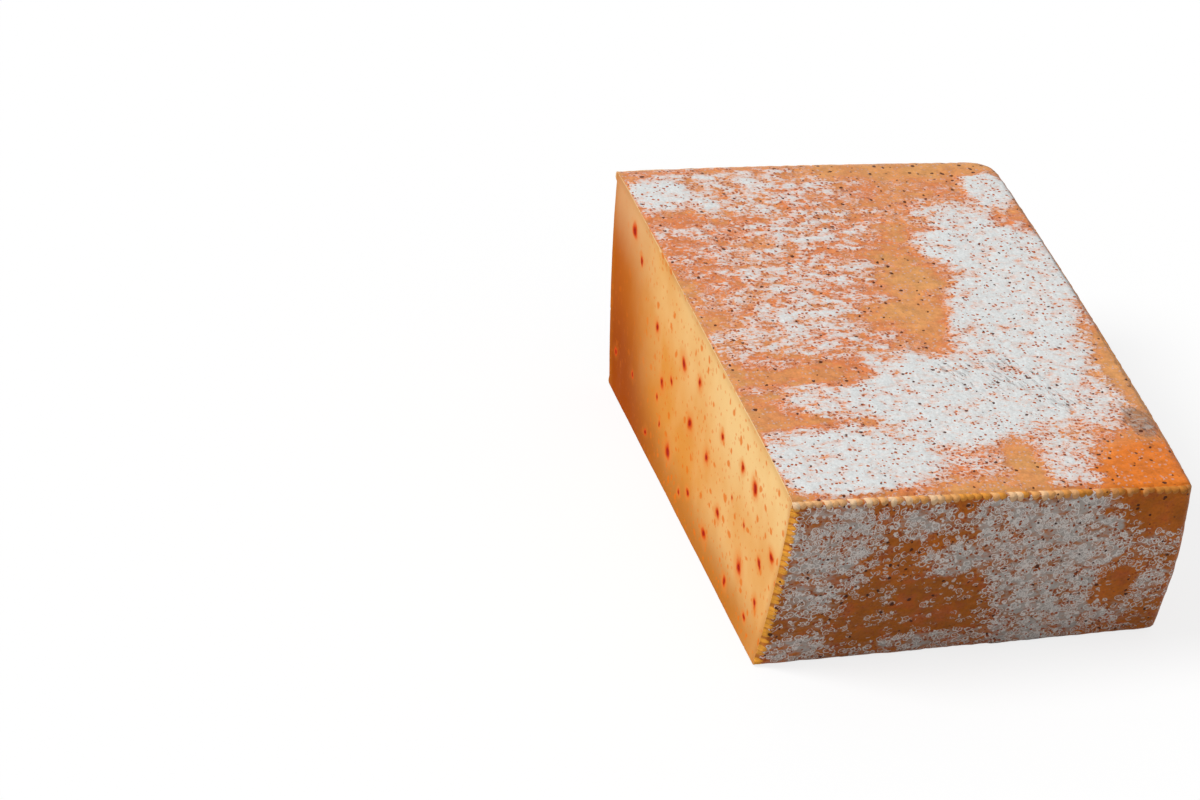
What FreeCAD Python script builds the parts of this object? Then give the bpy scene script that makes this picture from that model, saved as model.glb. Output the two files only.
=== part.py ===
import FreeCAD, Part
import math
import os

# Half of a pressed raclette block, lying flat. The loaf was cut through its
# middle, so the half has three moulded rind sides and one knife-cut side.
# Millimetres, +Z up. The cut faces -X, the mould's ends face -Y and +Y, and
# the origin is the middle of the footprint, on the underside.

# Overall size, at the widest level of the loaf
HALF_WIDTH = 142.0        # from the cut to the outer rind
DEPTH = 224.0             # from the front end to the back end
HEIGHT = 77.6             # at the middle of the cut's top edge

# The top sinks away from the middle of the loaf
OUTER_FALL = 7.8          # how much lower the outer rim lies than the cut
FALL_POWER = 1.25         # 1 is a straight slope, 2 a round crown
BACK_RISE = 1.0           # how much higher the back rim lies than the front
SHOULDER_FALL = 1.2       # how far the two end rims droop
SHOULDER_POWER = 6.0      # the higher, the nearer to the rim the droop begins

# The rind sides: upright under the rim, drawn in towards the foot
END_DRAW = 17.9           # how far the foot of each end lies inside the rim
END_POWER = 1.63          # the higher, the fuller the belly of the ends
SIDE_BELLY = 1.4          # how far the outer side swells between rim and foot
SIDE_BOW = 1.1            # how far the outer side bows out in plan
FRONT_CORNER = 3.5        # plan radius of the upright corner at the front
BACK_CORNER = 10.0        # plan radius of the upright corner at the back
RIM_ROUND = 2.0           # radius of the rolled rim round the top
FOOT_ROUND = 3.0          # radius of the edge round the underside

# The knife's plane is not quite square to the loaf
CUT_LEAN = 2.4            # how far the cut's foot stands out past its top
CUT_SKEW = 2.4            # how far the cut's back end lies inside its front

# How finely the forms are built up
SIDE_LEVELS = 7           # plan sections from the foot to above the rim
CROWN_STEPS = 9           # stations across and along the crown
LOFT_DEGREE = 3           # of the curves that join the plan sections
HEADROOM = 6.0            # how far the loft runs past the top before trimming

NODE = "cheese_half"


def end_draw_at(level):
    """How far the two ends lie inside the rim at a level above the underside."""
    depth_share = max(0.0, 1.0 - level / HEIGHT)
    return END_DRAW * depth_share ** END_POWER


def outer_side_at(level):
    """Distance from the cut to the ends of the bowed outer side at a level."""
    share = min(1.0, level / HEIGHT)
    return HALF_WIDTH - SIDE_BOW + SIDE_BELLY * math.sin(math.pi * share)


def corner_at(level, corner):
    """Plan radius of a corner: never tighter than the edge that rolls round it."""
    depth_share = max(0.0, 1.0 - level / HEIGHT)
    under_rim = max(corner, RIM_ROUND)
    at_foot = max(corner, FOOT_ROUND)
    return under_rim + (at_foot - under_rim) * depth_share


def bowed_edge(start, end, bow):
    """An arc from start to end that stands out to the right by bow."""
    chord = end - start
    outward = FreeCAD.Vector(chord.y, -chord.x, 0).normalize()
    middle = (start + end) * 0.5 + outward * bow
    return Part.Arc(start, middle, end).toShape()


def corner_edge(corner, before, after, radius):
    """A quarter round in a square corner, between two unit directions."""
    start = corner - before * radius
    end = corner + after * radius
    middle = corner + (after - before) * radius * (1 - math.sqrt(0.5))
    return Part.Arc(start, middle, end).toShape()


def plan_section(level):
    """The closed outline of the half loaf at one level, reaching past the cut."""
    inset = end_draw_at(level)
    front = -DEPTH / 2 + inset
    back = DEPTH / 2 - inset
    inner = -HEADROOM
    outer = outer_side_at(level)
    front_corner = corner_at(level, FRONT_CORNER)
    back_corner = corner_at(level, BACK_CORNER)
    east = FreeCAD.Vector(1, 0, 0)
    north = FreeCAD.Vector(0, 1, 0)
    front_inner = FreeCAD.Vector(inner, front, level)
    front_outer = FreeCAD.Vector(outer, front, level)
    back_outer = FreeCAD.Vector(outer, back, level)
    back_inner = FreeCAD.Vector(inner, back, level)
    side_start = front_outer + north * front_corner
    side_end = back_outer - north * back_corner
    edges = [
        Part.LineSegment(front_inner, front_outer - east * front_corner).toShape(),
        corner_edge(front_outer, east, north, front_corner),
        bowed_edge(side_start, side_end, SIDE_BOW),
        corner_edge(back_outer, north, east * -1, back_corner),
        Part.LineSegment(back_outer - east * back_corner, back_inner).toShape(),
        Part.LineSegment(back_inner, front_inner).toShape(),
    ]
    return Part.Wire(edges)


def moulded_loaf():
    """The loaf as the mould leaves it, still too tall and uncut."""
    top_level = HEIGHT + BACK_RISE + HEADROOM
    levels = [top_level * step / (SIDE_LEVELS - 1) for step in range(SIDE_LEVELS)]
    sections = [plan_section(level) for level in levels]
    return Part.makeLoft(sections, True, False, False, LOFT_DEGREE)


def crown_height(x, y):
    """Height of the top over a place measured from the middle of the cut."""
    across = max(0.0, x / HALF_WIDTH)
    along = y / (DEPTH / 2)
    fall = OUTER_FALL * across ** FALL_POWER
    rise = BACK_RISE * along / 2
    droop = SHOULDER_FALL * abs(along) ** SHOULDER_POWER
    return HEIGHT + rise - fall - droop


def under_crown():
    """Everything that lies below the sunken top, as a solid to trim with."""
    margin = 2 * HEADROOM
    rows = []
    for i in range(CROWN_STEPS):
        x = -margin + (HALF_WIDTH + 2 * margin) * i / (CROWN_STEPS - 1)
        row = []
        for j in range(CROWN_STEPS):
            y = (DEPTH + margin) * (j / (CROWN_STEPS - 1) - 0.5)
            row.append(FreeCAD.Vector(x, y, crown_height(x, y)))
        rows.append(row)
    surface = Part.BSplineSurface()
    surface.interpolate(rows)
    return surface.toShape().extrude(FreeCAD.Vector(0, 0, -2 * HEIGHT))


def knife_side():
    """The half space beyond the knife's plane, as a large wedge to cut off."""
    reach = DEPTH
    lean = CUT_LEAN / HEIGHT
    skew = CUT_SKEW / DEPTH
    corners = []
    for y, z in ((-reach, -reach), (reach, -reach), (reach, reach), (-reach, reach)):
        x = skew * (y + DEPTH / 2) - lean * (HEIGHT - z)
        corners.append(FreeCAD.Vector(x, y, z))
    face = Part.Face(Part.makePolygon(corners + corners[:1]))
    return face.extrude(FreeCAD.Vector(-reach, 0, 0))


def edges_round(solid, at_rim):
    """The edges between the rind sides and the top, or the underside."""
    found = []
    for edge in solid.Edges:
        box = edge.BoundBox
        near_top = box.ZMin > HEIGHT / 2
        near_foot = box.ZMax < FOOT_ROUND / 2
        on_knife = box.XMax < HEADROOM / 2
        if not on_knife and (near_top if at_rim else near_foot):
            found.append(edge)
    return found


def cheese_half():
    """The finished half: lofted, crowned, edges rounded, then cut."""
    loaf = moulded_loaf().common(under_crown())
    loaf = loaf.makeFillet(RIM_ROUND, edges_round(loaf, True))
    loaf = loaf.makeFillet(FOOT_ROUND, edges_round(loaf, False))
    half = loaf.cut(knife_side())
    return half.Solids[0]


def stood_on_origin(solid):
    """Move the solid so that the middle of its footprint is the origin."""
    box = solid.optimalBoundingBox(False, False)
    middle = FreeCAD.Vector(box.Center.x, box.Center.y, box.ZMin)
    solid.translate(middle * -1)
    return solid


def main():
    os.makedirs("parts", exist_ok=True)
    half = stood_on_origin(cheese_half())
    half.exportStep("parts/" + NODE + ".step")
    box = half.optimalBoundingBox(False, False)
    print(NODE, "valid", half.isValid(), "solids", len(half.Solids), "faces", len(half.Faces))
    print("box %.2f x %.2f x %.2f mm" % (box.XLength, box.YLength, box.ZLength))
    print("volume %.1f cm3" % (half.Volume / 1000))


main()
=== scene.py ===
import math

import bpy
import numpy as np
from mathutils import Matrix, Vector
from mathutils.bvhtree import BVHTree


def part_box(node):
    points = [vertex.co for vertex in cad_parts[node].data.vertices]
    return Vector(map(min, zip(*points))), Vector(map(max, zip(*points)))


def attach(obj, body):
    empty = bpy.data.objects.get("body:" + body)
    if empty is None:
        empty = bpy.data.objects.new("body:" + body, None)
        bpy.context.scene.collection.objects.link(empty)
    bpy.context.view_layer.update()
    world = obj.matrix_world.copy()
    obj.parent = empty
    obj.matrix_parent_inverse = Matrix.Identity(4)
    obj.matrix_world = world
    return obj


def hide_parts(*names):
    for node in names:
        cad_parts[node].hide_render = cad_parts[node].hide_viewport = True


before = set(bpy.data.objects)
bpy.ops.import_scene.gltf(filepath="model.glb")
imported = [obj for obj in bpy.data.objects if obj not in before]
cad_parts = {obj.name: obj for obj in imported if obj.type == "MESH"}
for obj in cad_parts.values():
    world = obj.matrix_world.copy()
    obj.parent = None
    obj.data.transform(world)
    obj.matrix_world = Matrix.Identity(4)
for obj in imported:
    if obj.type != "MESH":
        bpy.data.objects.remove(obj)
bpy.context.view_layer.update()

# Half of a pressed raclette block. The CAD solid gives the form. Here it is
# rebuilt as one dense closed mesh with the relief of its rind, and it gets
# two materials: the washed, mouldy rind and the smooth cut paste.
# Sizes in this file are millimetres unless a comment says otherwise.

MM = 0.001
NODE = "cheese_half"
LOW, HIGH = (np.array(corner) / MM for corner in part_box(NODE))

# ---------------------------------------------------------------- the form

GRID = 0.72               # spacing of the mesh before it is thinned
FACE_BUDGET = 194000      # triangles left after thinning
PROBE = 4.0               # how far inside its rim the top is measured
INWARD = 0.98             # how a place is drawn to the middle when a ray misses the top
LEVELS = 60               # heights at which the sides are measured
LOWEST = 0.5              # the lowest of them, above the underside
BELOW_RIM = 10.0          # the highest of them, below the highest point
CUT_NORMAL = -0.9         # the knife's faces have a normal with a smaller x


def is_cut(face):
    """True for the faces of the CAD mesh that the knife made."""
    return face.normal.x < CUT_NORMAL


def cad_surface(with_cut):
    """The CAD solid's surface, in millimetres, ready for rays and nearest points."""
    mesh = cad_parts[NODE].data
    points = [vertex.co / MM for vertex in mesh.vertices]
    faces = [tuple(face.vertices) for face in mesh.polygons if with_cut or not is_cut(face)]
    return BVHTree.FromPolygons(points, faces)


def knife_plane():
    """Three numbers p, q, r: the knife's cut lies at x = p + q y + r z."""
    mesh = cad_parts[NODE].data
    cut = [face for face in mesh.polygons if is_cut(face)]
    area = sum(face.area for face in cut)
    normal = sum((face.normal * face.area for face in cut), Vector()).normalized()
    centre = sum((face.center * face.area for face in cut), Vector()) / area / MM
    return normal.dot(centre) / normal.x, -normal.y / normal.x, -normal.z / normal.x


SURFACE = cad_surface(True)
RIND_SURFACE = cad_surface(False)
KNIFE = knife_plane()


def knife_x(y, z):
    """Where the knife's cut lies."""
    return KNIFE[0] + KNIFE[1] * y + KNIFE[2] * z


def top_z(x, y):
    """Height of the top over a place, measured a little inside its rim."""
    x = min(max(x, LOW[0] + 2 * PROBE), HIGH[0] - PROBE)
    y = min(max(y, LOW[1] + PROBE), HIGH[1] - PROBE)
    hit = None
    while hit is None or hit.z < 0.5 * HIGH[2]:
        hit = SURFACE.ray_cast(Vector((x, y, 2 * HIGH[2])), Vector((0, 0, -1)))[0]
        x, y = INWARD * x, INWARD * y
    return hit.z


def side_profiles(levels):
    """Where the front, the back and the outer side lie at each level."""
    far = 10 * HIGH[1]
    front, back, outer = [], [], []
    for z in levels:
        z = min(max(z, LOWEST), HIGH[2] - BELOW_RIM)
        front.append(SURFACE.ray_cast(Vector((0, -far, z)), Vector((0, 1, 0)))[0].y)
        back.append(SURFACE.ray_cast(Vector((0, far, z)), Vector((0, -1, 0)))[0].y)
        outer.append(SURFACE.ray_cast(Vector((far, 0, z)), Vector((-1, 0, 0)))[0].x)
    return np.array(front), np.array(back), np.array(outer)


def lattice_faces(counts):
    """Lattice points on the skin of a box of cells, and the outward quads of its six sides."""
    steps = np.array(counts)
    number = -np.ones(steps + 1, int)
    skin_points = [
        index for index in np.ndindex(*(steps + 1))
        if any(i == 0 or i == n for i, n in zip(index, counts))
    ]
    points = np.array(skin_points)
    number[tuple(points.T)] = np.arange(len(points))
    quads = []
    for axis in range(3):
        u, v = (axis + 1) % 3, (axis + 2) % 3
        i, j = np.meshgrid(np.arange(counts[u]), np.arange(counts[v]), indexing="ij")
        for end in (0, counts[axis]):
            corners = []
            for du, dv in ((0, 0), (1, 0), (1, 1), (0, 1)):
                index = [None] * 3
                index[axis] = np.full(i.shape, end)
                index[u] = i + du
                index[v] = j + dv
                corners.append(number[tuple(index)].ravel())
            if end == 0:
                corners.reverse()
            quads.append(np.stack(corners, 1))
    return points, quads


def on_rind(point):
    """The point of the CAD solid's rind that lies nearest."""
    return RIND_SURFACE.find_nearest(Vector(point))[0]


def formed_block():
    """The whole surface as a lattice laid on the CAD solid."""
    counts = [int(size / GRID) for size in HIGH - LOW]
    index, quads = lattice_faces(counts)
    share = index / np.array(counts)
    levels = np.linspace(0, HIGH[2], LEVELS)
    front, back, outer = side_profiles(levels)
    points = np.zeros(share.shape)
    for row, (a, b, c) in enumerate(share):
        z = c * HIGH[2]
        y = np.interp(z, levels, front) * (1 - b) + np.interp(z, levels, back) * b
        side = np.interp(z, levels, outer)
        z = c * top_z(knife_x(y, z) * (1 - a) + side * a, y)
        x = knife_x(y, z) * (1 - a) + side * a
        inside_cut = a == 0 and 0 < b < 1 and 0 < c < 1
        points[row] = (x, y, z) if inside_cut else on_rind((x, y, z))
    lay_cut(index, counts, points)
    return points, quads, index, counts


def lay_cut(index, counts, points):
    """Lay the cut's points evenly inside its outline, and keep how far they are sunk."""
    on_knife = np.nonzero(index[:, 0] == 0)[0]
    ny, nz = counts[1], counts[2]
    grid = np.zeros((ny + 1, nz + 1), int)
    grid[index[on_knife, 1], index[on_knife, 2]] = on_knife
    sunk = points[grid, 0] - knife_x(points[grid, 1], points[grid, 2])
    cut = points[grid]
    b = np.linspace(0, 1, ny + 1)[:, None, None]
    c = np.linspace(0, 1, nz + 1)[None, :, None]
    across = cut[:1] * (1 - b) + cut[-1:] * b
    upright = cut[:, :1] * (1 - c) + cut[:, -1:] * c
    foot = cut[:1, :1] * (1 - b) + cut[-1:, :1] * b
    top = cut[:1, -1:] * (1 - b) + cut[-1:, -1:] * b
    cut = across + upright - foot * (1 - c) - top * c
    cut[:, :, 0] = knife_x(cut[:, :, 1], cut[:, :, 2]) + sunk
    points[grid] = cut


# ------------------------------------------- where the rind is bare or mouldy

# Each zone below is x, y, z of its middle, its reach along x, y and z, and a
# strength. The axes are the CAD model's.
TOP = 75                  # height of the zones on the top
BLOOM_BASE = 0.44         # how much bloom there is outside all patches
LACE_BASE = 0.35          # how lacy the bloom is outside all laces

# How much bloom each patch adds. Negative patches are bare.
PATCHES = [
    # the broad white band down the outer half of the top
    (62, 89, TOP, 8, 12, 30, 0.9),
    (44, 72, TOP, 17, 9, 30, 0.45),
    (49, 48, TOP, 23, 15, 30, 1.0),
    (55, 27, TOP, 20, 15, 30, 1.0),
    (42, 4, TOP, 25, 19, 30, 1.0),
    (28, -12, TOP, 13, 14, 30, 0.9),
    (42, -24, TOP, 22, 15, 30, 0.65),
    (8, -46, TOP, 30, 20, 30, 0.95),
    (0, -66, TOP, 22, 14, 30, 0.75),
    (38, -50, TOP, 26, 17, 30, 0.45),
    (25, -70, TOP, 30, 12, 30, 0.25),
    # the white corner by the cut, and weaker bloom around it
    (-46, -89, TOP, 27, 19, 30, 1.0),
    (-36, -52, TOP, 22, 12, 30, 0.4),
    (-8, -90, TOP, 16, 16, 30, 0.2),
    (35, -92, TOP, 16, 14, 30, 0.28),
    (-60, 91, TOP, 10, 9, 30, 0.8),
    (-28, 55, TOP, 40, 55, 30, 0.24),
    (-28, -8, TOP, 34, 24, 30, 0.26),
    (12, -88, TOP, 42, 16, 30, 0.08),
    (-30, 95, TOP, 45, 14, 30, 0.1),
    # bare places on the top
    (14, 22, TOP, 11, 38, 30, -0.38),
    (6, 2, TOP, 20, 11, 30, -0.3),
    (-52, -34, TOP, 26, 7, 30, -0.3),
    (-58, -63, TOP, 18, 8, 30, -0.28),
    (16, -95, TOP, 5, 18, 30, -0.5),
    (60, -100, TOP, 17, 18, 30, -1.0),
    (69, -40, TOP, 5, 24, 30, -0.5),
    (64, -66, TOP, 16, 16, 30, 0.2),
    (38, 107, TOP, 34, 8, 30, -0.6),
    # the front: one large grey patch, small ones round it
    (26, -112, 48, 30, 30, 20, 1.0),
    (26, -100, 18, 20, 30, 22, 0.75),
    (-56, -112, 52, 17, 30, 22, 0.55),
    (-13, -112, 44, 10, 30, 7, 0.6),
    (-22, -112, 63, 11, 30, 8, 0.5),
    (5, -112, 64, 12, 30, 7, 0.6),
    (-60, -95, 7, 12, 30, 7, 0.6),
    (-14, -95, 6, 22, 30, 5, 0.5),
    (63, -112, 45, 8, 30, 8, 0.5),
    (63, -105, 26, 8, 30, 8, 0.6),
    (52, -98, 13, 8, 30, 8, 0.35),
    (-58, -104, 26, 13, 30, 12, 0.3),
    (48, -104, 26, 8, 30, 12, -0.45),
    # the outer side and the back, which the photograph hides
    (72, 20, 40, 30, 42, 20, 0.7),
    (72, -50, 52, 30, 22, 12, 0.5),
    (72, 78, 22, 30, 20, 16, 0.6),
    (20, 112, 42, 34, 30, 18, 0.65),
    (-44, 112, 56, 18, 30, 12, 0.5),
    (-30, 112, 14, 26, 30, 10, 0.45),
]

# How far the bare rind turns to saturated orange (positive) or to brown ochre
# (negative).
TONES = [
    (62, -104, TOP, 26, 22, 34, 1.0),
    (70, -108, 50, 20, 30, 40, 0.5),
    (25, 105, TOP, 70, 14, 30, -0.35),
    (66, -40, TOP, 10, 40, 30, -0.5),
    (12, 10, TOP, 20, 60, 30, -0.2),
    (16, -95, TOP, 10, 22, 30, -0.3),
    (-20, -100, 22, 60, 40, 16, -0.8),
    (-8, -100, 20, 18, 40, 12, -0.5),
    (-20, -112, 55, 40, 40, 14, 0.2),
]

# Places where the bloom is a fine lace instead of torn patches.
LACES = [
    (14, -88, TOP, 44, 18, 30, 1.0),
    (40, -68, TOP, 38, 22, 30, 1.0),
    (34, 86, TOP, 30, 14, 30, 0.9),
    (-66, 0, TOP, 10, 110, 30, 0.5),
]

# Places where dark specks crowd together.
STAINS = [
    (65, -70, TOP, 9, 14, 30, 1.0),
    (22, -38, TOP, 26, 14, 30, 0.7),
    (44, -58, TOP, 14, 10, 30, 0.6),
    (50, 15, TOP, 14, 40, 30, 0.35),
    (64, -95, TOP, 10, 16, 30, 0.4),
    (30, 105, TOP, 50, 10, 30, 0.3),
    (28, -112, 45, 30, 30, 20, 0.35),
    (-30, -106, 35, 30, 30, 20, 0.3),
]


FULL_TO = 0.4             # a zone has its full strength up to here, in its reaches
FADED_AT = 1.5            # and none from here


def falloff(points, middle, reach):
    """1 near a zone's middle, 0 well outside it, smooth between."""
    away = np.linalg.norm((points - np.array(middle)) / np.array(reach), axis=1)
    fall = np.clip((FADED_AT - away) / (FADED_AT - FULL_TO), 0, 1)
    return fall * fall * (3 - 2 * fall)


def summed(points, zones, base, low, high):
    """The zones' strengths laid over a base value, kept between two limits."""
    total = np.full(len(points), float(base))
    for x, y, z, rx, ry, rz, strength in zones:
        total += strength * falloff(points, (x, y, z), (rx, ry, rz))
    return np.clip(total, low, high)


RIM_DEPTH = 0.6           # a point deeper below the top than this is on a side


def rim_distance(points):
    """Distance from the rolled rim: below it on the sides, negative on the top."""
    x, y, z = points.T
    tops = np.array([top_z(px, py) for px, py in zip(x, y)])
    below = tops - z
    inward = np.minimum.reduce([y - LOW[1], HIGH[1] - y, HIGH[0] - x])
    on_top = np.minimum(below, RIM_DEPTH) - np.maximum(inward - RIM_DEPTH, 0)
    return np.where(below > RIM_DEPTH, below, on_top)


def from_knife(points):
    """Distance from the knife's cut."""
    return points[:, 0] - knife_x(points[:, 1], points[:, 2])


def from_ends(points):
    """Distance from the front wall or the back wall, whichever is nearer."""
    levels = np.linspace(0, HIGH[2], LEVELS)
    front, back = side_profiles(levels)[:2]
    y, z = points[:, 1], points[:, 2]
    return np.minimum(y - np.interp(z, levels, front), np.interp(z, levels, back) - y)


def along_rim(points):
    """A length that runs along the rim: front, outer side, then back."""
    x, y = points[:, 0], points[:, 1]
    turned = HIGH[0] + HIGH[1] - LOW[1] + (HIGH[0] - x)
    at_back = (HIGH[1] - y) < (HIGH[0] - x)
    return np.where(at_back, turned, x + y - LOW[1])


def set_attribute(mesh, name, values):
    """Store one number, or one vector, for each point of the mesh."""
    values = np.asarray(values, np.float32)
    is_vector = values.ndim == 2
    kind = "FLOAT_VECTOR" if is_vector else "FLOAT"
    layer = mesh.attributes.get(name) or mesh.attributes.new(name, kind, "POINT")
    layer.data.foreach_set("vector" if is_vector else "value", values.ravel())


def describe(mesh, points, inner_cut):
    """Everything that the relief and the materials read from the mesh."""
    set_attribute(mesh, "place", points)
    set_attribute(mesh, "cover", summed(points, PATCHES, BLOOM_BASE, -0.2, 1.0))
    set_attribute(mesh, "tone", summed(points, TONES, 0.0, -1.0, 1.0))
    set_attribute(mesh, "lacy", summed(points, LACES, LACE_BASE, 0.0, 1.0))
    set_attribute(mesh, "stain", summed(points, STAINS, 0.0, 0.0, 1.0))
    set_attribute(mesh, "rim", rim_distance(points))
    set_attribute(mesh, "along", along_rim(points))
    set_attribute(mesh, "knife", from_knife(points))
    set_attribute(mesh, "ends", from_ends(points))
    set_attribute(mesh, "inner_cut", inner_cut)


# ------------------------------------------------------------ node shorthand

class Nodes:
    """Adds nodes to a shader or geometry tree. Sizes are in millimetres."""

    def __init__(self, tree):
        self.tree = tree
        self.is_shader = tree.bl_idname == "ShaderNodeTree"

    def put(self, kind, inputs=(), **settings):
        """A new node with these settings and inputs."""
        node = self.tree.nodes.new(kind)
        for name, value in settings.items():
            setattr(node, name, value)
        for key, value in dict(inputs).items():
            self.feed(node.inputs[key], value)
        return node

    def feed(self, socket, value):
        """Link another node's output to an input, or set the input to a plain value."""
        if isinstance(value, bpy.types.NodeSocket):
            self.tree.links.new(value, socket)
        else:
            socket.default_value = value

    def math(self, operation, a, b=0.0, clamp=False):
        """One Math node's result."""
        node = self.put("ShaderNodeMath", {0: a, 1: b}, operation=operation, use_clamp=clamp)
        return node.outputs[0]

    def add(self, a, b):
        return self.math("ADD", a, b)

    def less(self, a, b):
        return self.math("SUBTRACT", a, b)

    def times(self, a, b):
        return self.math("MULTIPLY", a, b)

    def larger(self, a, b):
        return self.math("MAXIMUM", a, b)

    def rest(self, share):
        """What is left of 1 when a share is taken away."""
        return self.less(1.0, share)

    def vector(self, operation, a, b):
        """One Vector Math node's result."""
        second = "Scale" if operation == "SCALE" else 1
        node = self.put("ShaderNodeVectorMath", {0: a, second: b}, operation=operation)
        return node.outputs[0]

    def fade(self, value, start, end, low=0.0, high=1.0):
        """low where value is at start, high where it is at end, smooth between."""
        node = self.put(
            "ShaderNodeMapRange",
            {"Value": value, "From Min": start, "From Max": end, "To Min": low, "To Max": high},
            interpolation_type="SMOOTHSTEP",
        )
        return node.outputs[0]

    def noise(self, place, size, detail=2.0, colour=False):
        """Soft noise between 0 and 1, as a number or as a colour."""
        node = self.put(
            "ShaderNodeTexNoise", {"Vector": place, "Scale": 1.0 / size, "Detail": detail}
        )
        return node.outputs["Color" if colour else "Fac"]

    def cells(self, place, size, dimensions="3D"):
        """Distance to the nearest cell's middle, in cell sizes, and a random number."""
        node = self.put(
            "ShaderNodeTexVoronoi", {"Vector": place, "Scale": 1.0 / size},
            voronoi_dimensions=dimensions,
        )
        return node.outputs["Distance"], self.parts(node.outputs["Color"])[0]

    def line_cells(self, position, size, randomness):
        """The same for cells along a line, evenly spaced where randomness is 0."""
        node = self.put(
            "ShaderNodeTexVoronoi", {"Scale": 1.0, "Randomness": randomness},
            voronoi_dimensions="1D",
        )
        self.feed(node.inputs["W"], self.times(position, 1.0 / size))
        return node.outputs["Distance"], self.parts(node.outputs["Color"])[0]

    def parts(self, vector):
        """A vector's, or a colour's, three numbers."""
        return self.put("ShaderNodeSeparateXYZ", {0: vector}).outputs[:3]

    def join(self, x, y, z):
        """A vector of three numbers."""
        return self.put("ShaderNodeCombineXYZ", {0: x, 1: y, 2: z}).outputs[0]

    def mix(self, share, a, b):
        """Colour a where share is 0, colour b where it is 1."""
        node = self.put("ShaderNodeMix", data_type="RGBA")
        self.feed(node.inputs[0], share)
        self.feed(node.inputs[6], a)
        self.feed(node.inputs[7], b)
        return node.outputs[2]

    def attribute(self, name, is_vector=False):
        """A value that describe() stored on the mesh."""
        if self.is_shader:
            node = self.put("ShaderNodeAttribute", attribute_name=name)
            return node.outputs["Vector" if is_vector else "Fac"]
        kind = "FLOAT_VECTOR" if is_vector else "FLOAT"
        node = self.put("GeometryNodeInputNamedAttribute", {"Name": name}, data_type=kind)
        return node.outputs["Attribute"]


# -------------------------------------------------- the pattern of the rind

PATCH_SIZE = 4.2          # size of the torn patches of bloom
PATCH_SWING = (1.4, 0.6)  # how much they vary the bloom, in torn and in lacy places
RAGGED_SIZE = 1.9         # size of the tears in their edges
RAGGED_SWING = 0.7        # how much those vary the bloom
LACE_SIZE = 1.0           # size of the finest holes and shreds
DRAWN = (0.62, 1.0, 1.0)  # draws patches, tears and shreds out along x
STREAK = 8.5              # spacing of the mat's marks across the top
STREAK_SWING = 0.2        # how much they vary the bloom
KNIFE_FRINGE = -0.25      # how much bloom is missing beside the cut
RIM_FRINGE = -0.3         # the same along the top's front rim
WALL_FRINGE = -0.06       # the same on the walls

ROSETTE = 2.8             # spacing of the rosettes of bloom
RING = (0.34, 0.46)       # radii of their outer curls, in spacings
INNER_RING = 0.17         # radius of their inner curls
LAYER_SHIFT = (4.7, 1.9, 8.3)   # moves the second layer of rosettes off the first
CRUMPLE = 1.3             # how far the rosettes are pushed out of round
CRUMPLE_SIZE = 1.4        # size of their petals
BUDDING = 0.07            # how much more easily rosettes grow on the walls

WOBBLE_SIZE = 2.6         # size of the unevenness of pores and dark specks
PORE = 1.5                # spacing, in depth too, of the small holes in the bloom
PORE_WOBBLE = 1.8         # how far they are pushed out of round
PIT = 2.9                 # spacing, in depth too, of the dark specks
PIT_WOBBLE = 1.5          # how far they are pushed out of round
SCRATCH_ANGLE = 1.19      # turn of the scratches from +X to the front, in radians
SCRATCH_SIZE = 1.5        # how fine they are

BEAD_WIDTH = 2.8          # spacing of the beads along the rim
BEAD_LOW = 3.9            # how far below the top the beads hang
BEAD_VARIES = 1.6         # how much that differs from bead to bead
FRONT_BEADS = (45.0, 78.0)      # the beads weaken between these lengths along the rim
TOOTH = 2.3               # spacing of the teeth of the lip beside the cut
LIP_WIDTH = (2.6, 1.3)    # the lip's width at a tooth and between two


def centred(n, value):
    """A noise value moved to lie around zero."""
    return n.less(value, 0.5)


def pushes(n, place, size, detail):
    """A random push for each place, half a millimetre each way at most."""
    return n.vector("SUBTRACT", n.noise(place, size, detail, colour=True), (0.5, 0.5, 0.5))


def pushed(n, place, push, reach):
    """The place moved by its push, made larger by reach."""
    return n.vector("ADD", place, n.vector("SCALE", push, reach))


def mat_rows(n, skin, cover):
    """The pressing mat's marks: rows of bloom along x, strongest near the cut."""
    stretched = n.vector("MULTIPLY", skin["place"], (0.18, 1.0, 0.3))
    rows = n.fade(n.noise(stretched, STREAK, 1.0), 0.34, 0.66, -1.0, 1.0)
    reach = n.times(n.fade(skin["x"], 30.0, -5.0), n.fade(skin["z"], 60.0, 66.0))
    thin = n.fade(cover, 0.85, 0.45)
    return n.times(n.times(rows, reach), n.times(thin, STREAK_SWING))


def bloom_growth(n, skin):
    """How well the bloom grows: bare rind below about -0.3, thick bloom above 0.5."""
    cover = n.attribute("cover")
    cover = n.add(cover, mat_rows(n, skin, cover))
    swing = n.fade(skin["lacy"], 0.0, 1.0, *PATCH_SWING)
    patchy = n.times(centred(n, n.noise(skin["drawn"], PATCH_SIZE, 2.0)), swing)
    ragged = n.times(centred(n, n.noise(skin["drawn"], RAGGED_SIZE, 2.0)), RAGGED_SWING)
    by_knife = n.fade(skin["knife"], 1.4, 0.2, 0.0, KNIFE_FRINGE)
    by_rim = n.fade(skin["rim"], -5.0, -1.5, 0.0, RIM_FRINGE)
    by_rim = n.times(n.times(by_rim, n.fade(skin["y"], 0.0, -60.0)), skin["top"])
    fringe = n.add(by_knife, n.add(by_rim, n.times(skin["side"], WALL_FRINGE)))
    return n.add(n.add(centred(n, cover), patchy), n.add(ragged, fringe))


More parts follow.
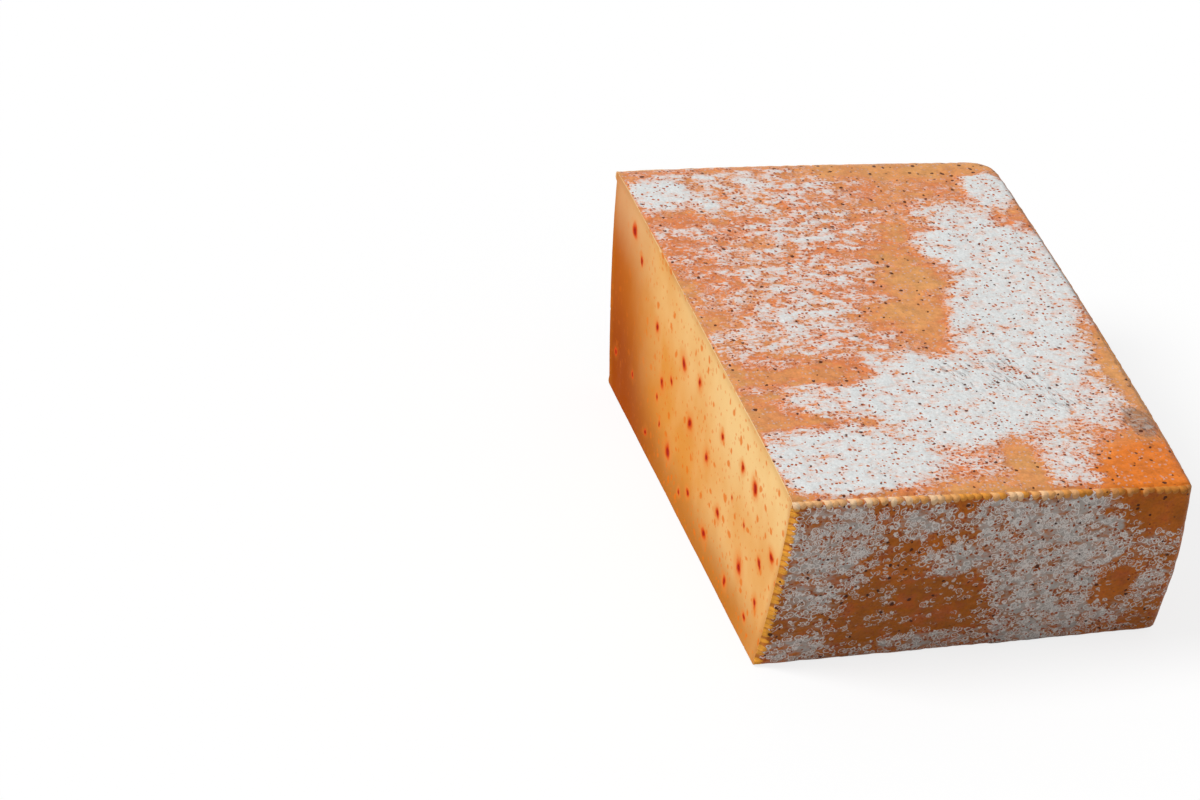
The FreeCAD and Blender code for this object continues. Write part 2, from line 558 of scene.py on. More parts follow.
def rosettes(n, moved, growth):
    """One layer of rosettes of bloom: their curled outlines, and where they have grown."""
    away, number = n.cells(moved, ROSETTE)
    radius = n.fade(number, 0.0, 1.0, *RING)
    outer = n.fade(n.math("ABSOLUTE", n.less(away, radius)), 0.1, 0.03)
    inner = n.fade(n.math("ABSOLUTE", n.less(away, INNER_RING)), 0.08, 0.02)
    grown = n.fade(n.add(growth, n.times(number, 0.5)), 0.22, 0.3)
    return n.times(n.larger(outer, n.times(inner, 0.75)), grown), grown


def two_layers(n, skin):
    """The curled strands of two layers of rosettes, and where either has grown."""
    petals = pushed(n, skin["place"], pushes(n, skin["place"], CRUMPLE_SIZE, 2.0), CRUMPLE)
    budding = n.add(skin["growth"], n.times(skin["side"], BUDDING))
    curl, grown = rosettes(n, petals, budding)
    shifted = n.vector("ADD", petals, LAYER_SHIFT)
    over_curl, over_grown = rosettes(n, shifted, n.add(budding, -0.08))
    return n.larger(curl, over_curl), n.larger(grown, over_grown)


def bloom_body(n, skin, grown):
    """Where the bloom lies: torn shreds on the top, strands and a veil on the walls."""
    growth, lace, strand = skin["growth"], skin["lace"], skin["strand"]
    shreds = n.times(lace, n.fade(skin["lacy"], 0.0, 1.0, 1.0, 1.7))
    shreds = n.add(shreds, n.times(strand, 0.14))
    torn = n.fade(n.add(growth, shreds), 0.08, 0.3)
    torn = n.larger(torn, n.times(strand, n.fade(growth, -0.3, 0.0, 0.0, 0.75)))
    veil = n.fade(n.add(growth, n.times(lace, 0.3)), 0.08, 0.58, 0.05, 0.9)
    strands = n.larger(n.times(strand, 0.95), n.times(veil, grown))
    return n.add(n.times(torn, skin["top"]), n.times(strands, skin["side"]))


def pores(n, skin, wobble):
    """Small holes in the bloom, and pale flecks in their place where the top is bare."""
    growth = skin["growth"]
    away, number = n.cells(pushed(n, skin["place"], wobble, PORE_WOBBLE), PORE)
    size = n.add(number, n.fade(growth, 0.6, 0.1, 0.0, 0.25))
    inside = n.less(n.fade(size, 0.15, 1.1, 0.0, 0.4), away)
    pore = n.fade(inside, -0.04, 0.06)
    bare = n.times(n.fade(growth, -1.1, -0.5), n.fade(growth, 0.1, -0.1))
    fleck = n.times(n.fade(inside, 0.0, 0.1), n.times(bare, skin["top"]))
    return pore, fleck


def scratches(n, skin, place):
    """Dark scratches in the stained parts of the top."""
    turned = n.put("ShaderNodeVectorRotate", {"Vector": place, "Angle": SCRATCH_ANGLE})
    drawn = n.vector("MULTIPLY", turned.outputs[0], (0.3, 1.3, 0.3))
    scratch = n.fade(n.noise(drawn, SCRATCH_SIZE, 2.0), 0.55, 0.63)
    scratch = n.times(scratch, n.fade(skin["stain"], 0.3, 0.9, 0.0, 0.6))
    return n.times(scratch, skin["top"])


def pits(n, skin, wobble):
    """Dark specks and scratches, and the specks' random number."""
    place = pushed(n, skin["place"], wobble, PIT_WOBBLE)
    away, number = n.cells(place, PIT)
    size = n.add(number, n.times(skin["stain"], 0.4))
    size = n.add(size, n.fade(skin["growth"], 0.0, 0.4, 0.0, -0.2))
    reach = n.fade(size, 0.05, 1.3, 0.03, 0.28)
    pit = n.fade(n.less(reach, away), -0.02, 0.03)
    return n.larger(pit, scratches(n, skin, place)), number


def beads(n, skin):
    """Beads of paste squeezed out along the rim: swell, outline, random number."""
    rim, along = skin["rim"], skin["along"]
    away, number = n.line_cells(along, BEAD_WIDTH, 0.55)
    low = n.add(BEAD_LOW, n.times(centred(n, number), BEAD_VARIES))
    down = n.math("DIVIDE", n.less(rim, n.times(low, 0.3)), n.times(low, 0.7))
    across = n.times(away, 1.9)
    reach = n.math("SQRT", n.add(n.times(down, down), n.times(across, across)))
    swell = n.times(n.math("SQRT", n.fade(reach, 1.1, 0.0)), n.fade(rim, -1.8, 0.8))
    weak = n.times(swell, n.fade(along, *FRONT_BEADS, 1.0, 0.25))
    swell = n.add(weak, n.fade(along, *FRONT_BEADS, 0.0, 0.6))
    outline = n.times(n.fade(reach, 1.1, 0.96), n.fade(rim, -1.2, 0.0))
    return swell, outline, number


def toothed_lip(n, skin):
    """The lip of rind that the knife curled up beside the cut, and its teeth."""
    away = n.line_cells(skin["z"], TOOTH, 0.8)[0]
    width = n.fade(away, 0.1, 0.5, *LIP_WIDTH)
    lip = n.fade(n.less(skin["knife"], width), 0.3, -0.3)
    return n.times(lip, n.fade(skin["rim"], 1.5, 4.0)), n.fade(away, 0.55, 0.25)


def skin_pattern(n):
    """What the relief and the colour of the rind share, as sockets by name."""
    skin = {"place": n.attribute("place", True)}
    skin["x"], skin["y"], skin["z"] = n.parts(skin["place"])
    for name in ("rim", "along", "knife", "lacy", "stain"):
        skin[name] = n.attribute(name)
    skin["side"] = n.fade(skin["rim"], 0.3, 3.0)
    skin["top"] = n.rest(skin["side"])
    skin["drawn"] = n.vector("MULTIPLY", skin["place"], DRAWN)
    skin["lace"] = centred(n, n.noise(skin["drawn"], LACE_SIZE, 2.0))
    skin["growth"] = bloom_growth(n, skin)
    skin["strand"], grown = two_layers(n, skin)
    wobble = pushes(n, skin["place"], WOBBLE_SIZE, 3.0)
    skin["pore"], fleck = pores(n, skin, wobble)
    body = bloom_body(n, skin, grown)
    skin["bloom"] = n.larger(n.times(body, n.rest(skin["pore"])), fleck)
    skin["pit"], skin["pit_random"] = pits(n, skin, wobble)
    skin["bead"], skin["band"], skin["bead_random"] = beads(n, skin)
    skin["lip"], skin["teeth"] = toothed_lip(n, skin)
    return skin


# --------------------------------------------------------- relief and mesh

RIND, PASTE_CUT = 0, 1    # the mesh's material slots
MEAN_DEPTH = 0.5          # how far the rind lies inside the CAD surface
SWELL_SIZE = 26.0         # size of its broad unevenness
SWELL = 0.9               # and how deep that is
CRUST = 0.22              # how far the bloom stands above the bare rind
THICK_CRUST = 0.12        # how much farther where it is thick
GRAIN_SIZE = 1.7          # size of the rind's grain
GRAIN = 0.3               # and how deep that is
PIT_DEPTH = 0.35          # depth of the dark specks
BEAD_DEPTH = 0.5          # how deep the gaps between the beads are
KNIFE_ROLL = 1.6          # how far the walls curve in towards the cut
RIM_ROLL = 0.5            # how far the rim is rounded
WAVE_SIZE = 16.0          # size of the waves of the cut
WAVE = 0.6                # and how deep they are


def skin_level(n, skin):
    """How far the rind lies from the CAD surface, in millimetres; always inside it."""
    growth, rim = skin["growth"], skin["rim"]
    swell = n.times(centred(n, n.noise(skin["place"], SWELL_SIZE, 2.0)), SWELL)
    crust = n.times(n.fade(growth, -0.1, 0.25), CRUST)
    thick = n.times(n.fade(growth, 0.25, 0.8), THICK_CRUST)
    grain = n.times(centred(n, n.noise(skin["place"], GRAIN_SIZE, 3.0)), GRAIN)
    ground = n.add(n.add(n.add(swell, crust), n.add(thick, grain)), -MEAN_DEPTH)
    ground = n.add(ground, n.times(skin["pit"], -PIT_DEPTH))
    on_wall = n.times(n.fade(rim, 0.5, 4.0), n.fade(skin["z"], 0.3, 3.0))
    by_knife = n.times(n.fade(skin["knife"], 2.8, -0.6, 0.0, -KNIFE_ROLL), on_wall)
    ground = n.add(ground, by_knife)
    rim_ground = n.add(n.times(skin["bead"], BEAD_DEPTH), -BEAD_DEPTH)
    level = n.times(ground, n.rest(skin["band"]))
    level = n.add(level, n.times(rim_ground, skin["band"]))
    rolled = n.times(n.fade(rim, 3.2, 0.3, 0.0, -RIM_ROLL), n.fade(rim, -3.0, -0.4))
    return n.math("MINIMUM", n.add(level, rolled), 0.0)


def cut_level(n, skin):
    """How far the cut lies inside the knife's plane: soft waves, and none at its edges."""
    place = n.vector("MULTIPLY", skin["place"], (1.0, 1.0, 0.35))
    wave = n.fade(n.noise(place, WAVE_SIZE, 2.0), 0.3, 0.7, -WAVE, 0.0)
    to_edge = n.math("MINIMUM", n.attribute("ends"), skin["rim"])
    to_edge = n.math("MINIMUM", to_edge, skin["z"])
    return n.times(wave, n.fade(to_edge, 0.0, 5.0))


def relief_modifier(piece):
    """Sink the rind below the CAD surface by its relief; wave the cut a little."""
    tree = bpy.data.node_groups.new("rind_relief", "GeometryNodeTree")
    tree.interface.new_socket("Geometry", in_out="INPUT", socket_type="NodeSocketGeometry")
    tree.interface.new_socket("Geometry", in_out="OUTPUT", socket_type="NodeSocketGeometry")
    n = Nodes(tree)
    source = n.put("NodeGroupInput")
    target = n.put("NodeGroupOutput")
    skin = skin_pattern(n)
    inner_cut = n.attribute("inner_cut")
    depth = n.times(skin_level(n, skin), n.rest(inner_cut))
    depth = n.add(depth, n.times(cut_level(n, skin), inner_cut))
    # the outline of the cut may not move along x, so that it stays on the plane
    along_x = n.larger(n.fade(skin["knife"], 0.0, 0.3), inner_cut)
    normal = n.put("GeometryNodeInputNormal").outputs[0]
    normal = n.vector("MULTIPLY", normal, n.join(along_x, 1.0, 1.0))
    normal = n.vector("NORMALIZE", normal, (0.0, 0.0, 0.0))
    offset = n.vector("SCALE", normal, n.times(depth, MM))
    moved = n.put("GeometryNodeSetPosition", {"Geometry": source.outputs[0], "Offset": offset})
    tree.links.new(moved.outputs[0], target.inputs[0])
    modifier = piece.modifiers.new("relief", "NODES")
    modifier.node_group = tree


# How freely the mesh may be thinned: 0 not at all, 1 most.
SPARE_SEEN = 0.5          # rind that the photograph shows
SPARE_HIDDEN = 0.9        # rind that it doesn't
SPARE_CUT = 0.95          # the middle of the cut
SPARE_CUT_EDGE = 0.4      # near the cut's outline
SPARE_POWER = 4.0         # how strongly these shares count
HIDDEN_FOOT = 1.0         # height up to which the rind counts as underside
HIDDEN_BACK = 20.0        # width of the strip at the back that counts as hidden
HIDDEN_SIDE = 6.0         # the same at the outer side
CUT_EDGE = 2.0            # width of the edge of the cut


def spare_share(points, inner_cut, outline):
    """How freely the mesh may be thinned at each point."""
    x, y, z = points.T
    hidden = (z < HIDDEN_FOOT) | (y > HIGH[1] - HIDDEN_BACK) | (x > HIGH[0] - HIDDEN_SIDE)
    spare = np.where(hidden, SPARE_HIDDEN, SPARE_SEEN)
    to_edge = np.minimum(np.minimum(from_ends(points), rim_distance(points)), z)
    spare[inner_cut] = np.where(to_edge[inner_cut] < CUT_EDGE, SPARE_CUT_EDGE, SPARE_CUT)
    spare[outline] = 0.0
    return spare


def thin_modifier(piece, spare, triangles):
    """Thin the mesh to its budget, most where it is seldom seen."""
    group = piece.vertex_groups.new(name="spare")
    for share in np.unique(spare):
        group.add(np.nonzero(spare == share)[0].tolist(), float(share), "REPLACE")
    modifier = piece.modifiers.new("thin", "DECIMATE")
    modifier.ratio = FACE_BUDGET / triangles
    modifier.vertex_group = group.name
    modifier.vertex_group_factor = SPARE_POWER


def baked(piece):
    """Replace the piece's mesh by what its modifiers make of it."""
    graph = bpy.context.evaluated_depsgraph_get()
    mesh = bpy.data.meshes.new_from_object(piece.evaluated_get(graph))
    piece.modifiers.clear()
    piece.vertex_groups.clear()
    piece.data = mesh
    return mesh


def mark_knife_edges(mesh):
    """Keep the edge between rind and cut sharp, and all else smooth."""
    sides = {}
    for face in mesh.polygons:
        for key in face.edge_keys:
            sides.setdefault(key, set()).add(face.material_index)
    sharp = [len(sides[edge.key]) > 1 for edge in mesh.edges]
    layer = mesh.attributes.new("sharp_edge", "BOOLEAN", "EDGE")
    layer.data.foreach_set("value", sharp)


def read_points(mesh):
    """The mesh's points in millimetres."""
    points = np.empty(3 * len(mesh.vertices), np.float32)
    mesh.vertices.foreach_get("co", points)
    return points.reshape(-1, 3).astype(float) / MM


def write_points(mesh, points):
    """Move the mesh's points, which may not stand out of the CAD solid's box."""
    points = np.clip(points, LOW, HIGH) * MM
    mesh.vertices.foreach_set("co", points.astype(np.float32).ravel())


def settled(mesh, points):
    """Where each point of the thinned mesh lay before it was sunk."""
    inside_cut = np.ones(len(points), bool)
    for face in mesh.polygons:
        if face.material_index == RIND:
            inside_cut[list(face.vertices)] = False
    return np.array([
        point if cut else on_rind(point) for point, cut in zip(points, inside_cut)
    ])


def block_mesh(points, cut_quads, rind_quads):
    """The closed mesh, with rind and paste as its two materials."""
    faces = np.concatenate([cut_quads, rind_quads])
    mesh = bpy.data.meshes.new("cheese")
    mesh.from_pydata((points * MM).tolist(), [], faces.tolist())
    material_of = np.full(len(faces), RIND, np.int32)
    material_of[:len(cut_quads)] = PASTE_CUT
    mesh.materials.append(rind_material())
    mesh.materials.append(paste_material())
    mesh.polygons.foreach_set("material_index", material_of)
    mesh.polygons.foreach_set("use_smooth", np.ones(len(faces), bool))
    return mesh


def cheese():
    """The half block as one closed mesh, with its relief."""
    points, quads, index, counts = formed_block()
    cut_quads, rind_quads = quads[0], np.concatenate(quads[1:])
    mesh = block_mesh(points, cut_quads, rind_quads)
    on_cut = np.isin(np.arange(len(points)), cut_quads)
    outline = on_cut & np.isin(np.arange(len(points)), rind_quads)
    inner_cut = on_cut & ~outline
    describe(mesh, points, inner_cut)
    piece = bpy.data.objects.new("cheese", mesh)
    bpy.context.scene.collection.objects.link(piece)
    relief_modifier(piece)
    mesh = baked(piece)
    relieved = read_points(mesh)
    lay_cut(index, counts, relieved)
    write_points(mesh, relieved)
    triangles = 2 * (len(cut_quads) + len(rind_quads))
    thin_modifier(piece, spare_share(points, inner_cut, outline), triangles)
    mesh = baked(piece)
    thinned = read_points(mesh)
    write_points(mesh, thinned)
    mark_knife_edges(mesh)
    describe(mesh, settled(mesh, thinned), np.zeros(len(thinned)))
    return piece


# ---------------------------------------------------------------- materials

def colour(red, green, blue):
    """A colour from its 0 to 255 display values."""
    def linear(value):
        value /= 255
        return value / 12.92 if value <= 0.04045 else ((value + 0.055) / 1.055) ** 2.4
    return (linear(red), linear(green), linear(blue), 1.0)


OCHRE = colour(217, 152, 90)
SALMON = colour(216, 126, 74)
ORANGE = colour(222, 120, 38)
WALL_ORANGE = colour(200, 108, 28)
WALL_BROWN = colour(178, 98, 20)
WALL_RED = colour(196, 92, 44)
BLOOM_THICK = colour(222, 227, 227)
BLOOM_THIN = colour(226, 196, 184)
# the translucent grey-brown veil between the strands, darker partly as painted shade
BLOOM_SHADE = colour(160, 148, 132)
# the pale strands, brightened to near white as a painted sheen
BLOOM_STRAND_SHEEN = colour(250, 244, 238)
PORE_RED = colour(158, 72, 36)
PIT_DARK = colour(84, 42, 26)
GRIME = colour(128, 106, 84)
BEAD = colour(242, 162, 66)
BEAD_PALE = colour(250, 214, 172)
BEAD_DEEP = colour(206, 132, 56)
NICK = colour(206, 124, 44)
# the lip's own yellow-orange, brightened as painted light shining through it from the cut's side
LIP_AND_GLOW = colour(255, 176, 60)
RIND_ROUGHNESS = (0.45, 0.85)           # bare, and under bloom
RIND_GLOSS = 0.12
RIND_BUMP = 0.8
FINE_SIZE = 0.9           # size of the rind's finest changes of tone
BLOTCH_SIZE = 3.4         # size of its blotches
MICRO_SIZE = 0.5          # size of its finest relief
MICRO = 0.06              # and how deep that is
STRAND_FOLD = (0.03, 0.12)              # relief of a strand on the top and on a wall


def new_material(name):
    """A material, the means to add nodes to it, and its shader."""
    material = bpy.data.materials.new(name)
    material.use_nodes = True
    n = Nodes(material.node_tree)
    shader = material.node_tree.nodes["Principled BSDF"]
    return material, n, shader


def bumped(n, shader, height, strength):
    """Give a shader a fine relief. The height is in metres."""
    bump = n.put("ShaderNodeBump", {"Height": height, "Distance": 1.0, "Strength": strength})
    n.feed(shader.inputs["Normal"], bump.outputs[0])


def bare_rind(n, skin):
    """The washed rind between the bloom: ochre and salmon on top, orange on the walls."""
    place = skin["place"]
    tone = n.attribute("tone")
    near_bloom = n.fade(skin["growth"], -0.35, 0.0)
    mottle = n.fade(n.noise(place, 14.0, 4.0), 0.38, 0.62)
    salmon = n.math("ADD", n.times(near_bloom, 0.6), n.times(mottle, 0.5), True)
    base = n.mix(salmon, OCHRE, SALMON)
    base = n.mix(n.fade(tone, 0.0, 0.9), base, ORANGE)
    base = n.mix(n.fade(tone, 0.0, -0.9), base, OCHRE)
    wall_mottle = n.fade(n.noise(place, 12.0, 3.0), 0.4, 0.62, 0.0, 0.7)
    brown = n.math("ADD", n.fade(tone, 0.0, -0.9), wall_mottle, True)
    wall = n.mix(brown, WALL_ORANGE, WALL_BROWN)
    reddish = n.fade(n.noise(place, 7.0, 2.0), 0.5, 0.68, 0.0, 0.5)
    wall = n.mix(reddish, wall, WALL_RED)
    return n.mix(skin["side"], base, wall)


def bloom_colour(n, skin):
    """The bloom: pinkish where thin, white where thick. On the walls the translucent veil between
    the strands is darkened, partly painted shade, and the pale strands are brightened by a painted
    sheen.
    """
    growth, side = skin["growth"], skin["side"]
    thick = n.fade(n.add(growth, n.times(skin["lace"], 0.6)), 0.1, 0.6)
    crust = n.mix(thick, BLOOM_THIN, BLOOM_THICK)
    hollow = n.times(side, n.fade(growth, 0.0, 0.5, 0.75, 0.45))
    # painted shade: on the walls the veil between the strands is darker, partly its own
    # translucent grey-brown
    crust = n.mix(n.times(n.rest(skin["strand"]), hollow), crust, BLOOM_SHADE)
    # painted sheen: on the walls the strands are near white, paler than their own colour
    return n.mix(n.times(skin["strand"], n.times(side, 0.9)), crust, BLOOM_STRAND_SHEEN)


def bloom_share(n, skin):
    """How much the bloom hides of the rind below it."""
    growth = skin["growth"]
    clear = n.rest(n.larger(skin["band"], n.times(skin["lip"], 0.7)))
    dense = n.add(growth, n.times(skin["lace"], 0.5))
    solid = n.fade(growth, -0.1, 0.35, 0.66, 0.95)
    opaque = n.larger(n.fade(dense, -0.1, 0.3, 0.55, 0.96), n.times(skin["side"], solid))
    opaque = n.larger(opaque, n.times(skin["strand"], solid))
    return n.times(n.times(skin["bloom"], clear), opaque)


def bead_colour(n, skin):
    """The rim's beads: pale towards the cut, deeper outward, darker in the gaps."""
    x = skin["x"]
    pale = n.fade(skin["bead_random"], 0.4, 0.8)
    pale = n.times(pale, n.fade(x, 50.0, 10.0, 0.1, 0.8))
    pale = n.add(pale, n.fade(x, -10.0, -50.0, 0.0, 0.5))
    deep = n.mix(n.fade(x, 10.0, 50.0), BEAD, BEAD_DEEP)
    bead = n.mix(pale, deep, BEAD_PALE)
    return n.mix(n.fade(skin["bead"], 0.22, 0.02, 0.0, 0.8), bead, NICK)


def rind_colour(n, skin):
    """Bare rind, pores, bloom, beads, lip, grime and specks, laid over each other."""
    pore = n.times(skin["pore"], n.fade(skin["growth"], -0.1, 0.1, 0.35, 0.8))
    tint = n.mix(pore, bare_rind(n, skin), PORE_RED)
    tint = n.mix(bloom_share(n, skin), tint, bloom_colour(n, skin))
    tint = n.mix(n.times(skin["band"], 0.9), tint, bead_colour(n, skin))
    # the lip's colour is partly its own and partly painted light, a glow from the cut's side
    lip = n.mix(skin["teeth"], NICK, LIP_AND_GLOW)
    tint = n.mix(n.times(skin["lip"], 0.85), tint, lip)
    grimy = n.times(n.fade(skin["stain"], 0.8, 1.0, 0.0, 0.55), skin["top"])
    tint = n.mix(grimy, tint, GRIME)
    dark = n.times(skin["pit"], n.fade(skin["pit_random"], 0.2, 0.7, 0.6, 0.95))
    return n.mix(dark, tint, PIT_DARK)


def rind_material():
    """Washed rind: salmon to orange, under a patchy pale bloom, with dark pits."""
    material, n, shader = new_material("rind")
    skin = skin_pattern(n)
    place, bloom = skin["place"], skin["bloom"]
    fine = n.times(centred(n, n.noise(place, FINE_SIZE, 4.0)), 0.5)
    blotch = centred(n, n.noise(place, BLOTCH_SIZE, 4.0))
    blotch = n.times(blotch, n.fade(bloom, 0.0, 1.0, 0.8, 0.2))
    value = n.add(n.add(1.0, fine), blotch)
    tint = rind_colour(n, skin)
    shade = n.put("ShaderNodeHueSaturation", {"Color": tint, "Value": value})
    n.feed(shader.inputs["Base Color"], shade.outputs[0])
    n.feed(shader.inputs["Roughness"], n.fade(bloom, 0.0, 1.0, *RIND_ROUGHNESS))
    shader.inputs["Specular IOR Level"].default_value = RIND_GLOSS
    micro = n.times(n.noise(place, MICRO_SIZE, 3.0), MICRO)
    fold = n.times(skin["strand"], n.fade(skin["side"], 0.0, 1.0, *STRAND_FOLD))
    height = n.add(n.add(skin_level(n, skin), micro), fold)
    bumped(n, shader, n.times(height, MM), RIND_BUMP)
    return material


PASTE = colour(250, 206, 138)
PASTE_WARM = colour(232, 152, 62)
PASTE_BACK = colour(188, 92, 6)
PASTE_DEEP = colour(164, 72, 0)
# a painted reflection: the pale sheen on the upper back of the cut
PAINTED_PASTE_SHEEN = colour(248, 198, 142)
PASTE_EDGE = colour(194, 116, 36)
# a painted highlight along the cut's outline, where its edge would catch the light
EDGE_HIGHLIGHT = colour(250, 222, 170)
SPOT_HEART = colour(172, 26, 2)
SPOT_MID = colour(224, 80, 8)
SPOT_HALO = colour(238, 138, 54)
FLECK = colour(234, 118, 20)
PASTE_ROUGHNESS = 0.5
PASTE_GLOSS = 0.01        # low, because the cut is seen at a grazing angle
PASTE_BUMP = 0.6
RIPPLE_SIZE = 3.0         # size of the knife's finest ripples
RIPPLE = 0.1              # and how deep they are

# The larger red specks of the cut: y, z and radius.
SPOTS = [
    (16, 54, 2.6), (-3, 57, 1.9), (49, 49, 2.0), (84, 67, 2.8), (73, 61, 1.5), (26, 41, 1.5),
    (2, 38, 2.4), (-20, 38, 2.2), (36, 34, 2.2), (40, 26, 1.5), (-33, 54, 1.7), (-57, 56, 1.7),
    (-72, 57, 2.6), (-97, 45, 2.2), (-38, 26, 2.0), (-65, 22, 3.0), (-85, 20, 2.0), (-26, 11, 2.4),
    (22, 15, 2.8), (-4, 14, 1.6), (-52, 8, 1.9), (-76, 9, 1.4), (69, 18, 1.6), (90, 15, 1.6),
    (5, 9, 1.4), (-85, 36, 1.8), (47, 8, 1.6), (-66, 39, 1.2), (-50, 40, 1.1), (33, 19, 1.2),
]
FLECKS = (8.5, 0.15)      # scattered flecks between them: spacing, largest radius in spacings
TINY_FLECKS = (3.6, 0.2)  # the same for the tiny ones


def nearest_spot(n, y, z):
    """Distance to the nearest red speck, in its radii."""
    flat = n.join(0.0, y, z)
    nearest = 100.0
    for spot_y, spot_z, radius in SPOTS:
        away = n.put(
            "ShaderNodeVectorMath", {0: flat, 1: (0.0, spot_y, spot_z)}, operation="DISTANCE"
        )
        nearest = n.math("MINIMUM", n.times(away.outputs["Value"], 1.0 / radius), nearest)
    return nearest


def fleck_layer(n, y, z, spacing, reach):
    """Small scattered flecks, some large and most tiny."""
    away, number = n.cells(n.join(y, z, 0.0), spacing, "2D")
    size = n.fade(number, 0.1, 0.9, 0.0, reach)
    return n.fade(n.less(size, away), -0.05, 0.04)


def paste_ground(n, place, moved_y, moved_z):
    """Creamy yellow, deeper towards rind, foot and back; and how deep the back is."""
    y, z = n.parts(place)[1:]
    rim, ends = n.attribute("rim"), n.attribute("ends")
    cloudy = n.fade(n.noise(place, 26.0, 3.0), 0.3, 0.7, -0.3, 0.3)
    warm = n.add(n.fade(y, -90.0, 60.0, 0.0, 0.5), n.fade(z, 66.0, 40.0, 0.0, 0.45))
    warm = n.math("ADD", warm, n.times(cloudy, 0.7), True)
    tint = n.mix(warm, PASTE, PASTE_WARM)
    foot = n.fade(moved_z, 26.0, 0.0)
    foot = n.times(foot, n.fade(y, -110.0, -50.0, 0.5, 1.0))
    tint = n.mix(foot, tint, PASTE_EDGE)
    back = n.fade(n.less(moved_y, n.times(z, 0.6)), 5.0, 75.0)
    deep = n.mix(n.fade(z, 50.0, 15.0), PASTE_BACK, PASTE_DEEP)
    tint = n.mix(back, tint, deep)
    # painted reflection: a pale sheen laid on the upper back of the cut
    painted_sheen = n.times(n.fade(moved_y, 45.0, 95.0), n.fade(moved_z, 46.0, 74.0))
    tint = n.mix(n.times(painted_sheen, 0.5), tint, PAINTED_PASTE_SHEEN)
    near_rind = n.larger(n.fade(ends, 7.0, 0.8), n.times(n.fade(rim, 5.0, 1.0), 0.4))
    tint = n.mix(n.times(near_rind, 0.5), tint, PASTE_EDGE)
    # painted highlight: a thin pale line along the cut's outline
    line = n.larger(n.fade(ends, 0.9, 0.4), n.fade(rim, 0.9, 0.4))
    return n.mix(n.times(line, 0.5), tint, EDGE_HIGHLIGHT), back


def paste_colour(n, place):
    """The paste with its flecks and red specks, which are weaker at the back."""
    moved = pushed(n, place, pushes(n, place, 6.0, 3.0), 4.0)
    y, z = n.parts(moved)[1:]
    tint, back = paste_ground(n, place, y, z)
    light = n.fade(back, 0.7, 0.0, 0.25, 1.0)
    small = n.times(fleck_layer(n, y, z, *TINY_FLECKS), 0.6)
    flecks = n.larger(fleck_layer(n, y, z, *FLECKS), small)
    tint = n.mix(n.times(n.times(flecks, 0.8), light), tint, FLECK)
    spot = nearest_spot(n, y, z)
    tint = n.mix(n.times(n.fade(spot, 2.8, 0.8, 0.0, 0.6), light), tint, SPOT_HALO)
    tint = n.mix(n.fade(spot, 1.35, 0.5), tint, SPOT_MID)
    return n.mix(n.fade(spot, 0.7, 0.25), tint, SPOT_HEART)


def paste_material():
    """The smooth cut paste, slightly waxy."""
    material, n, shader = new_material("paste")
    place = n.attribute("place", True)
    n.feed(shader.inputs["Base Color"], paste_colour(n, place))
    shader.inputs["Roughness"].default_value = PASTE_ROUGHNESS
    shader.inputs["Specular IOR Level"].default_value = PASTE_GLOSS
    ripples = n.times(n.noise(place, RIPPLE_SIZE, 3.0), RIPPLE * MM)
    bumped(n, shader, ripples, PASTE_BUMP)
    return material


# ------------------------------------------------------- floor, light, camera

FLOOR_REACH = 6.0         # metres from the middle to each edge
FLOOR_LIT = (0.42, 0.42, 0.42, 1.0)     # what the cheese's light bounces off
FLOOR_SEEN = (0.2, 0.2, 0.2, 1.0)       # what is seen, beside its glow
FLOOR_GLOW = 0.8          # brings the seen floor to white outside the shadow
SKY_LIGHT = 0.42          # the sky as the cheese's light
SKY_SEEN = 1.0            # the sky as it is seen
SUN_STRENGTH = 2.45
SUN_WIDTH = 25            # degrees
SUN_FROM = Vector((-0.66, 0.03, 0.75))  # from above, on the cut's side
WHITE = (1.0, 1.0, 1.0, 1.0)

AZIMUTH = -18.054         # degrees, the photograph's viewing angle
ELEVATION = 30.777
ROLL = 4.622
AIM = Vector((-96.6, 22.1, 38.0)) * MM  # the middle of the frame, beside the cut
DISTANCE = 2.913          # metres
LENS = 254.6
SENSOR = 36.0


def seen_rays(n):
    """1 for rays that show the surroundings as they look, 0 for rays that only light."""
    path = n.put("ShaderNodeLightPath")
    mirrored = n.larger(path.outputs["Is Glossy Ray"], path.outputs["Is Transmission Ray"])
    return n.larger(path.outputs["Is Camera Ray"], mirrored)


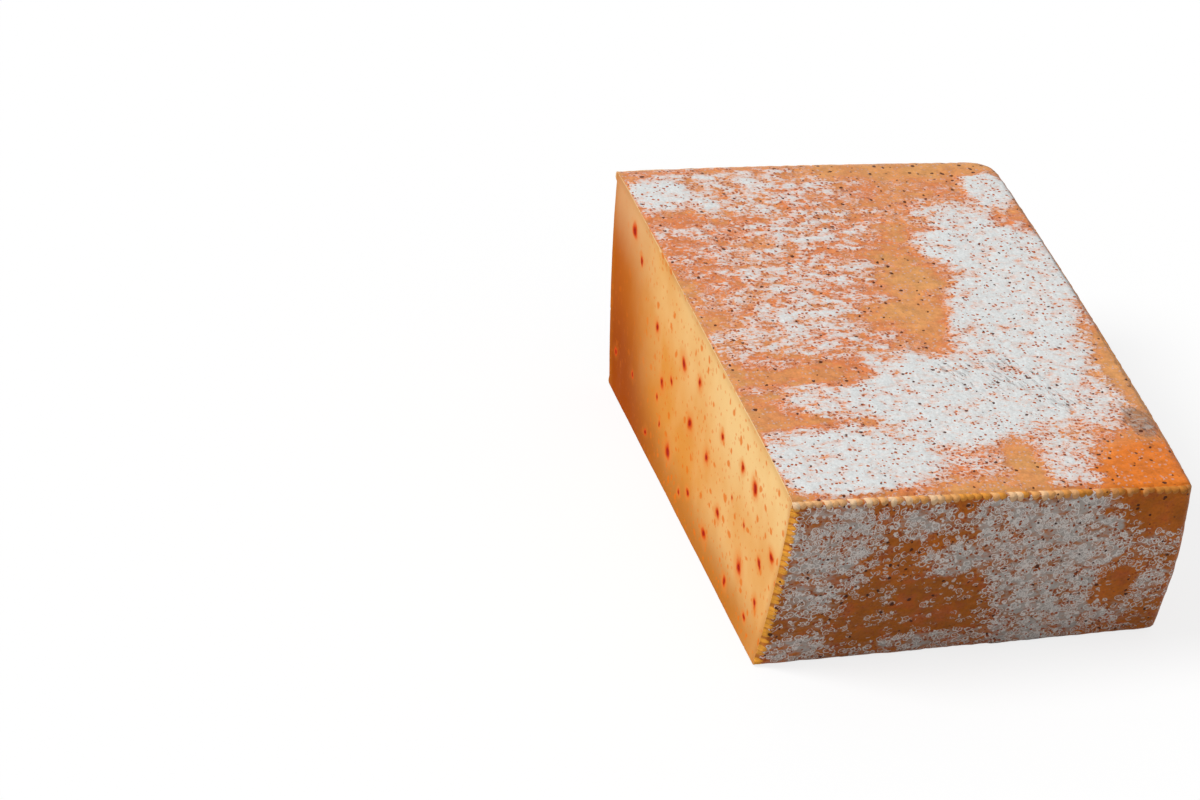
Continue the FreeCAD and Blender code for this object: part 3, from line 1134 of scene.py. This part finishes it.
def floor():
    """A plain pale floor that keeps the cheese's shadow."""
    mesh = bpy.data.meshes.new("floor")
    corners = [(-1, -1, 0), (1, -1, 0), (1, 1, 0), (-1, 1, 0)]
    points = [Vector(corner) * FLOOR_REACH for corner in corners]
    mesh.from_pydata(points, [], [(0, 1, 2, 3)])
    material, n, shader = new_material("floor")
    seen = seen_rays(n)
    n.feed(shader.inputs["Base Color"], n.mix(seen, FLOOR_LIT, FLOOR_SEEN))
    shader.inputs["Roughness"].default_value = 1.0
    shader.inputs["Specular IOR Level"].default_value = 0.0
    shader.inputs["Emission Color"].default_value = WHITE
    n.feed(shader.inputs["Emission Strength"], n.times(seen, FLOOR_GLOW))
    mesh.materials.append(material)
    plane = bpy.data.objects.new("floor", mesh)
    bpy.context.scene.collection.objects.link(plane)


def lights():
    """A soft sky, and one large soft lamp from above on the cut's side."""
    world = bpy.data.worlds.new("studio")
    bpy.context.scene.world = world
    world.use_nodes = True
    n = Nodes(world.node_tree)
    background = world.node_tree.nodes["Background"]
    background.inputs["Color"].default_value = WHITE
    strength = n.fade(seen_rays(n), 0.0, 1.0, SKY_LIGHT, SKY_SEEN)
    n.feed(background.inputs["Strength"], strength)
    lamp = bpy.data.lights.new("key", "SUN")
    lamp.energy = SUN_STRENGTH
    lamp.angle = math.radians(SUN_WIDTH)
    key = bpy.data.objects.new("key", lamp)
    key.rotation_mode = "QUATERNION"
    key.rotation_quaternion = (-SUN_FROM).to_track_quat("-Z", "Y")
    bpy.context.scene.collection.objects.link(key)


def camera():
    """The camera stands where the photograph was taken from."""
    a, e, r = (math.radians(angle) for angle in (AZIMUTH, ELEVATION, ROLL))
    back = Vector((math.sin(a) * math.cos(e), -math.cos(a) * math.cos(e), math.sin(e)))
    level_right = Vector((0, 0, 1)).cross(back).normalized()
    level_up = back.cross(level_right)
    right = level_right * math.cos(r) + level_up * math.sin(r)
    up = level_up * math.cos(r) - level_right * math.sin(r)
    data = bpy.data.cameras.new("camera")
    data.lens = LENS
    data.sensor_width = SENSOR
    eye = bpy.data.objects.new("camera", data)
    turn = Matrix((right, up, back)).transposed()
    eye.matrix_world = Matrix.Translation(AIM + back * DISTANCE) @ turn.to_4x4()
    bpy.context.scene.collection.objects.link(eye)
    bpy.context.scene.camera = eye


bpy.context.scene.view_settings.view_transform = "Standard"
camera()
lights()
floor()
half = cheese()
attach(half, "root")
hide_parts(NODE)
